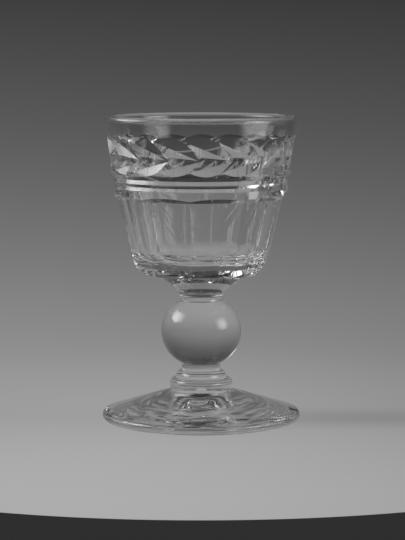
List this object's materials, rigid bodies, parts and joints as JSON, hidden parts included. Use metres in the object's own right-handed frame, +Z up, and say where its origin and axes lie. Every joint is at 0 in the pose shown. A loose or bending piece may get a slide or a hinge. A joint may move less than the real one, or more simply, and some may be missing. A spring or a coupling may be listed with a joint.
{
  "type": "cordial glass",
  "caption": "Small clear stemmed drinking glass: a fluted bowl with a cut leaf band and ring cuts, on a ball stem and a plain round foot.",
  "frame": {"origin": "centre of the foot on the surface that the glass stands on", "axes": "+Z up along the axis of the glass, -Y towards the front of the picture, +X to its right"},
  "size_m": [0.0582, 0.0582, 0.089],
  "materials": {
    "foot_glass": "clear polished glass with a polished hollow underneath",
    "stem_glass": "clear fire-polished glass",
    "bowl_glass": "clear glass with polished wheel cuts"
  },
  "bodies": {
    "root": {"foot": "foot_glass", "cushion_knop": "stem_glass", "lower_neck": "stem_glass", "ball_knop": "stem_glass", "collar": "stem_glass", "bowl": "bowl_glass"}
  },
  "joints": []
}
